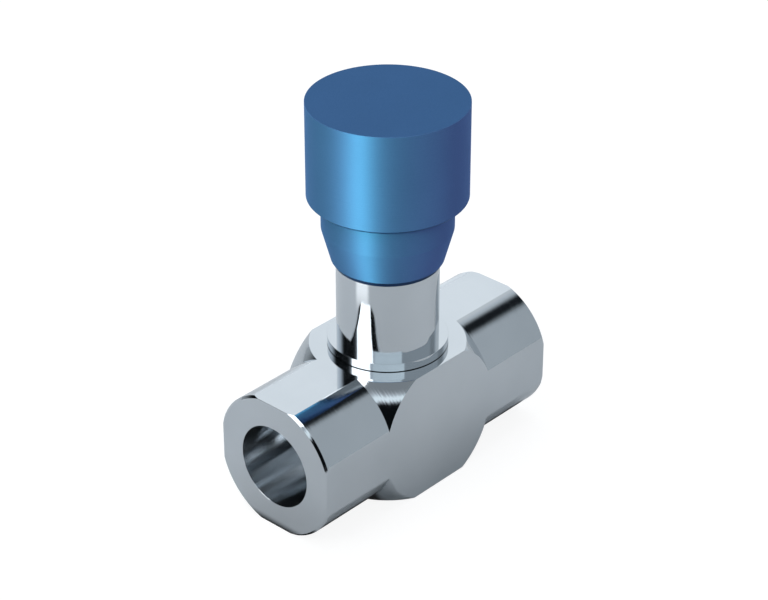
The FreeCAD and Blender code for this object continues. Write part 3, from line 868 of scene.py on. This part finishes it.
class NEEDLEVALVE_OT_inner(bpy.types.Operator):
    """Give the pieces inside the valve their finishes"""

    bl_idname = "needle_valve.inner"
    bl_label = "Inner Pieces"

    def execute(self, context):
        looks = sizes(context, "finishes")
        by_slot = {
            "hardened_steel": ground("hardened_steel", looks.steel, turned_along_z, roughness=0.25),
            "spring_steel": ground("spring_steel", looks.spring, turned_along_z, roughness=0.35),
            "brass": ground("brass_pad", looks.brass, faced_round_spindle, roughness=0.3),
            "black_rubber": moulded("nitrile_rubber", looks.rubber, roughness=0.55, cells=6000),
            "white_ptfe": moulded("white_ptfe", looks.ptfe, roughness=0.4, cells=3000),
            "bronze_filled_ptfe": moulded("bronze_ptfe", looks.bronze_ptfe, roughness=0.45, cells=5000),
            "plated_steel": plated("plate_inside", looks, turned_along_z),
            "blue_aluminium": anodised("blue_inside", looks.blue, looks.side_roughness, turned_along_z),
            "black_oxide_steel": ground("black_oxide_inside", looks.oxide, drawn_along_x, roughness=0.34)}
        slots = {part["node"]: part["material_slot"] for part in frame["record"]["subparts"]}
        for name, node in frame["nodes"].items():
            node.data.materials.clear()
            node.data.materials.append(by_slot[slots[name]])
        return {"FINISHED"}


# Studio

class NEEDLEVALVE_OT_stage(bpy.types.Operator):
    """Set up the pale floor, the soft light and the camera"""

    bl_idname = "needle_valve.stage"
    bl_label = "Studio"

    def execute(self, context):
        studio = sizes(context, "studio")
        self.make_floor(studio)
        self.make_world(context.scene, studio)
        self.make_lamps(studio)
        self.make_camera(context.scene, studio)
        context.scene.view_settings.view_transform = "Standard"
        return {"FINISHED"}

    def make_floor(self, studio):
        """Floor that the camera sees pale and the metal mirrors grey."""
        reach = 3.0
        bm = bmesh.new()
        bmesh.ops.create_grid(bm, x_segments=1, y_segments=1, size=reach)
        floor = to_object(bm, "floor")
        material = bpy.data.materials.new("studio_floor")
        nodes = Nodes(material)
        mirrored = self.mirrored_floor(nodes, studio)
        pale_share, glow = 0.19, 0.89
        shown = nodes.add_shaders(nodes.new("BsdfDiffuse", Color=(pale_share,) * 3),
                                  nodes.new("Emission", Strength=glow))
        mix = nodes.new("MixShader")
        nodes.feed(mix.inputs[0], nodes.new("LightPath").outputs["Is Camera Ray"])
        nodes.feed(mix.inputs[1], mirrored.outputs[0])
        nodes.feed(mix.inputs[2], shown.outputs[0])
        nodes.new("OutputMaterial", Surface=mix.outputs[0])
        floor.data.materials.append(material)

    def mirrored_floor(self, nodes, studio):
        """Grey floor with paler and darker parts, painted pools of glowing light and a painted contact
        shadow under the valve.
        """
        dark = (0.01, 0.01, 0.012)
        # Strengths of the painted light on the floor: glowing pools on the key side and behind the valve,
        # and a faint glow all over.
        painted_key_pool_glow, painted_back_pool_glow, painted_glow_all_over = 0.7, 0.12, 0.015
        place = nodes.new("TexCoord").outputs["Object"]
        split = nodes.new("SeparateXYZ", Vector=place)
        azimuth = nodes.maths("ARCTAN2", split.outputs["Y"], split.outputs["X"])
        away = nodes.length(place)
        behind = nodes.sector(azimuth, centre=48, half_width=11, soft=6)
        back_left = nodes.sector(azimuth, centre=105, half_width=50, soft=8)
        left = nodes.sector(azimuth, centre=180, half_width=70, soft=4)
        key_side = nodes.sector(azimuth, centre=167, half_width=14, soft=5)
        seen = nodes.mix(back_left, studio.floor, (0.75, 0.757, 0.765))
        seen = nodes.mix(behind, seen, (0.95, 0.98, 1.0))
        outer_left = nodes.maths("MULTIPLY", left, nodes.soft_step(away, start=0.19, end=0.26))
        seen = nodes.mix(outer_left, seen, dark)
        # Painted shadow: the floor under the valve is painted near black, as the valve's contact shadow seen
        # in the metal.
        under = [nodes.inside(split.outputs[axis], reach + MM, reach - MM)
                 for axis, reach in (("X", 36 * MM), ("Y", 10.6 * MM))]
        seen = nodes.mix(nodes.maths("MULTIPLY", *under), seen, dark)
        # Painted light: pools of glowing light on the floor clear of the valve, seen only in the metal.
        pools = nodes.maths("ADD", nodes.maths("MULTIPLY", key_side, painted_key_pool_glow),
                            nodes.maths("MULTIPLY", behind, painted_back_pool_glow))
        clear_of_valve = nodes.soft_step(away, start=0.078, end=0.092)
        pools = nodes.maths("ADD", nodes.maths("MULTIPLY", pools, clear_of_valve), painted_glow_all_over)
        return nodes.add_shaders(nodes.new("BsdfDiffuse", Color=seen), nodes.new("Emission", Strength=pools))

    def make_world(self, scene, studio):
        """Even sky with softer and darker areas, seen in the metal; plain white behind the valve."""
        world = bpy.data.worlds.new("studio_light")
        scene.world = world
        nodes = Nodes(world)
        split = nodes.new("SeparateXYZ", Vector=nodes.new("TexCoord").outputs["Generated"])
        azimuth = nodes.maths("ARCTAN2", split.outputs["Y"], split.outputs["X"])
        elevation = nodes.maths("ARCSINE", split.outputs["Z"])
        black = (0.004, 0.005, 0.006)
        # Name, then azimuth, half width, elevation, half height and soft edge in degrees, then colour
        areas = (
            ("pale wall behind the valve", 46, 21, 15, 40, 5, (0.99, 1.05, 1.10)),
            ("its shaded right end", 13, 16, 30, 40, 5, (0.71, 0.76, 0.80)),
            ("wall on the right", -60, 58, 20, 38, 6, studio.wall),
            ("dark flag on the right", -18, 9, 48, 15, 4, (0.011, 0.014, 0.017)),
            ("dim ceiling above the camera", -130, 50, 58, 21, 5, (0.27, 0.30, 0.325)),
            ("shade on the left behind the valve", 96, 16, 0, 30, 5, (0.40, 0.44, 0.47)),
            ("black low wall on the left", 177, 73, 9, 20, 3, black),
            ("its raised far end", 124, 28, 24, 20, 12, black),
            ("light strip behind the camera", -136, 30, 32.6, 2.5, 1.3, (1.02, 1.15, 1.22)),
            ("key light", 169.5, 19, 42, 14, 1.2, (3.4, 3.4, 3.4)),
            ("bounce from below", 0, 200, -60, 58, 1, studio.bounce))
        light = studio.sky
        for name, centre, half_width, height, half_height, soft, colour in areas:
            mask = nodes.maths("MULTIPLY", nodes.sector(azimuth, centre, half_width, soft),
                               nodes.band(elevation, height, half_height, soft))
            light = nodes.mix(mask, light, colour)
            light.node.label = name
        white = nodes.mix(nodes.new("LightPath").outputs["Is Camera Ray"], light, (1.0, 1.0, 1.0))
        background = nodes.new("Background", Color=white)
        nodes.new("OutputWorld", Surface=background.outputs[0])

    def make_lamps(self, studio):
        knob_light = bpy.data.collections.new("knob_light")
        knob_light.objects.link(bpy.data.objects["knob_blue"])
        self.lamp("knob_lamp", studio.knob_power, place=(-0.574, -0.049, 0.308), width=0.12,
                  tint=(0.34, 1.0, 0.65), lit=knob_light)
        self.lamp("fill_lamp", studio.fill_power, place=(-0.05, 0.1, 0.6), width=0.5, tint=(1.0, 1.0, 1.0))

    def lamp(self, name, power, place, width, tint, lit=None):
        """Square lamp aimed at the valve's middle, which may light one collection alone."""
        middle = Vector((0, 0, 0.04))
        data = bpy.data.lights.new(name, "AREA")
        data.energy = power
        data.size = width
        data.color = tint
        lamp = bpy.data.objects.new(name, data)
        bpy.context.scene.collection.objects.link(lamp)
        lamp.location = place
        lamp.rotation_mode = "QUATERNION"
        lamp.rotation_quaternion = (middle - Vector(place)).to_track_quat("-Z", "Y")
        lamp.light_linking.receiver_collection = lit

    def make_camera(self, scene, studio):
        azimuth, elevation = studio.azimuth, studio.elevation
        back = Vector((math.sin(azimuth) * math.cos(elevation), -math.cos(azimuth) * math.cos(elevation),
                       math.sin(elevation)))
        right = Vector((math.cos(azimuth), math.sin(azimuth), 0))
        data = bpy.data.cameras.new("photo_camera")
        data.sensor_width = 36.0
        data.lens = studio.lens
        data.clip_start = 0.01
        camera = bpy.data.objects.new("photo_camera", data)
        scene.collection.objects.link(camera)
        target = Vector((0, 0, studio.target_height)) + right * studio.target_side
        camera.location = target + back * studio.distance
        camera.rotation_mode = "QUATERNION"
        camera.rotation_quaternion = (-back).to_track_quat("-Z", "Y")
        scene.camera = camera


class NEEDLEVALVE_PT_panel(bpy.types.Panel):
    """Sizes, finishes and build steps of the needle valve"""

    bl_idname = "NEEDLEVALVE_PT_panel"
    bl_label = "Needle Valve"
    bl_space_type = "VIEW_3D"
    bl_region_type = "UI"
    bl_category = "Needle Valve"

    def draw(self, context):
        layout = self.layout
        for operator in OPERATORS:
            layout.operator(operator.bl_idname)
        for title, group in GROUPS.items():
            box = layout.box()
            box.label(text=title.capitalize())
            values = sizes(context, title)
            for name in group.__annotations__:
                box.prop(values, name)


GROUPS = {"body": ValveBodySizes, "bonnet": BonnetSizes, "knob": KnobSizes, "finishes": Finishes,
          "studio": StudioSettings}
OPERATORS = (NEEDLEVALVE_OT_inner, NEEDLEVALVE_OT_body, NEEDLEVALVE_OT_bonnet, NEEDLEVALVE_OT_knob,
             NEEDLEVALVE_OT_screws, NEEDLEVALVE_OT_stage)


def register():
    for group in GROUPS.values():
        bpy.utils.register_class(group)
    for title, group in GROUPS.items():
        setattr(bpy.types.Scene, "needle_valve_" + title, PointerProperty(type=group))
    for operator in OPERATORS:
        bpy.utils.register_class(operator)
    bpy.utils.register_class(NEEDLEVALVE_PT_panel)


def unregister():
    bpy.utils.unregister_class(NEEDLEVALVE_PT_panel)
    for operator in reversed(OPERATORS):
        bpy.utils.unregister_class(operator)
    for title in GROUPS:
        delattr(bpy.types.Scene, "needle_valve_" + title)
    for group in reversed(list(GROUPS.values())):
        bpy.utils.unregister_class(group)


def main():
    register()
    bpy.ops.needle_valve.inner()
    bpy.ops.needle_valve.body()
    bpy.ops.needle_valve.bonnet()
    bpy.ops.needle_valve.knob()
    bpy.ops.needle_valve.screws()
    bpy.ops.needle_valve.stage()


if __name__ == "__main__":
    main()
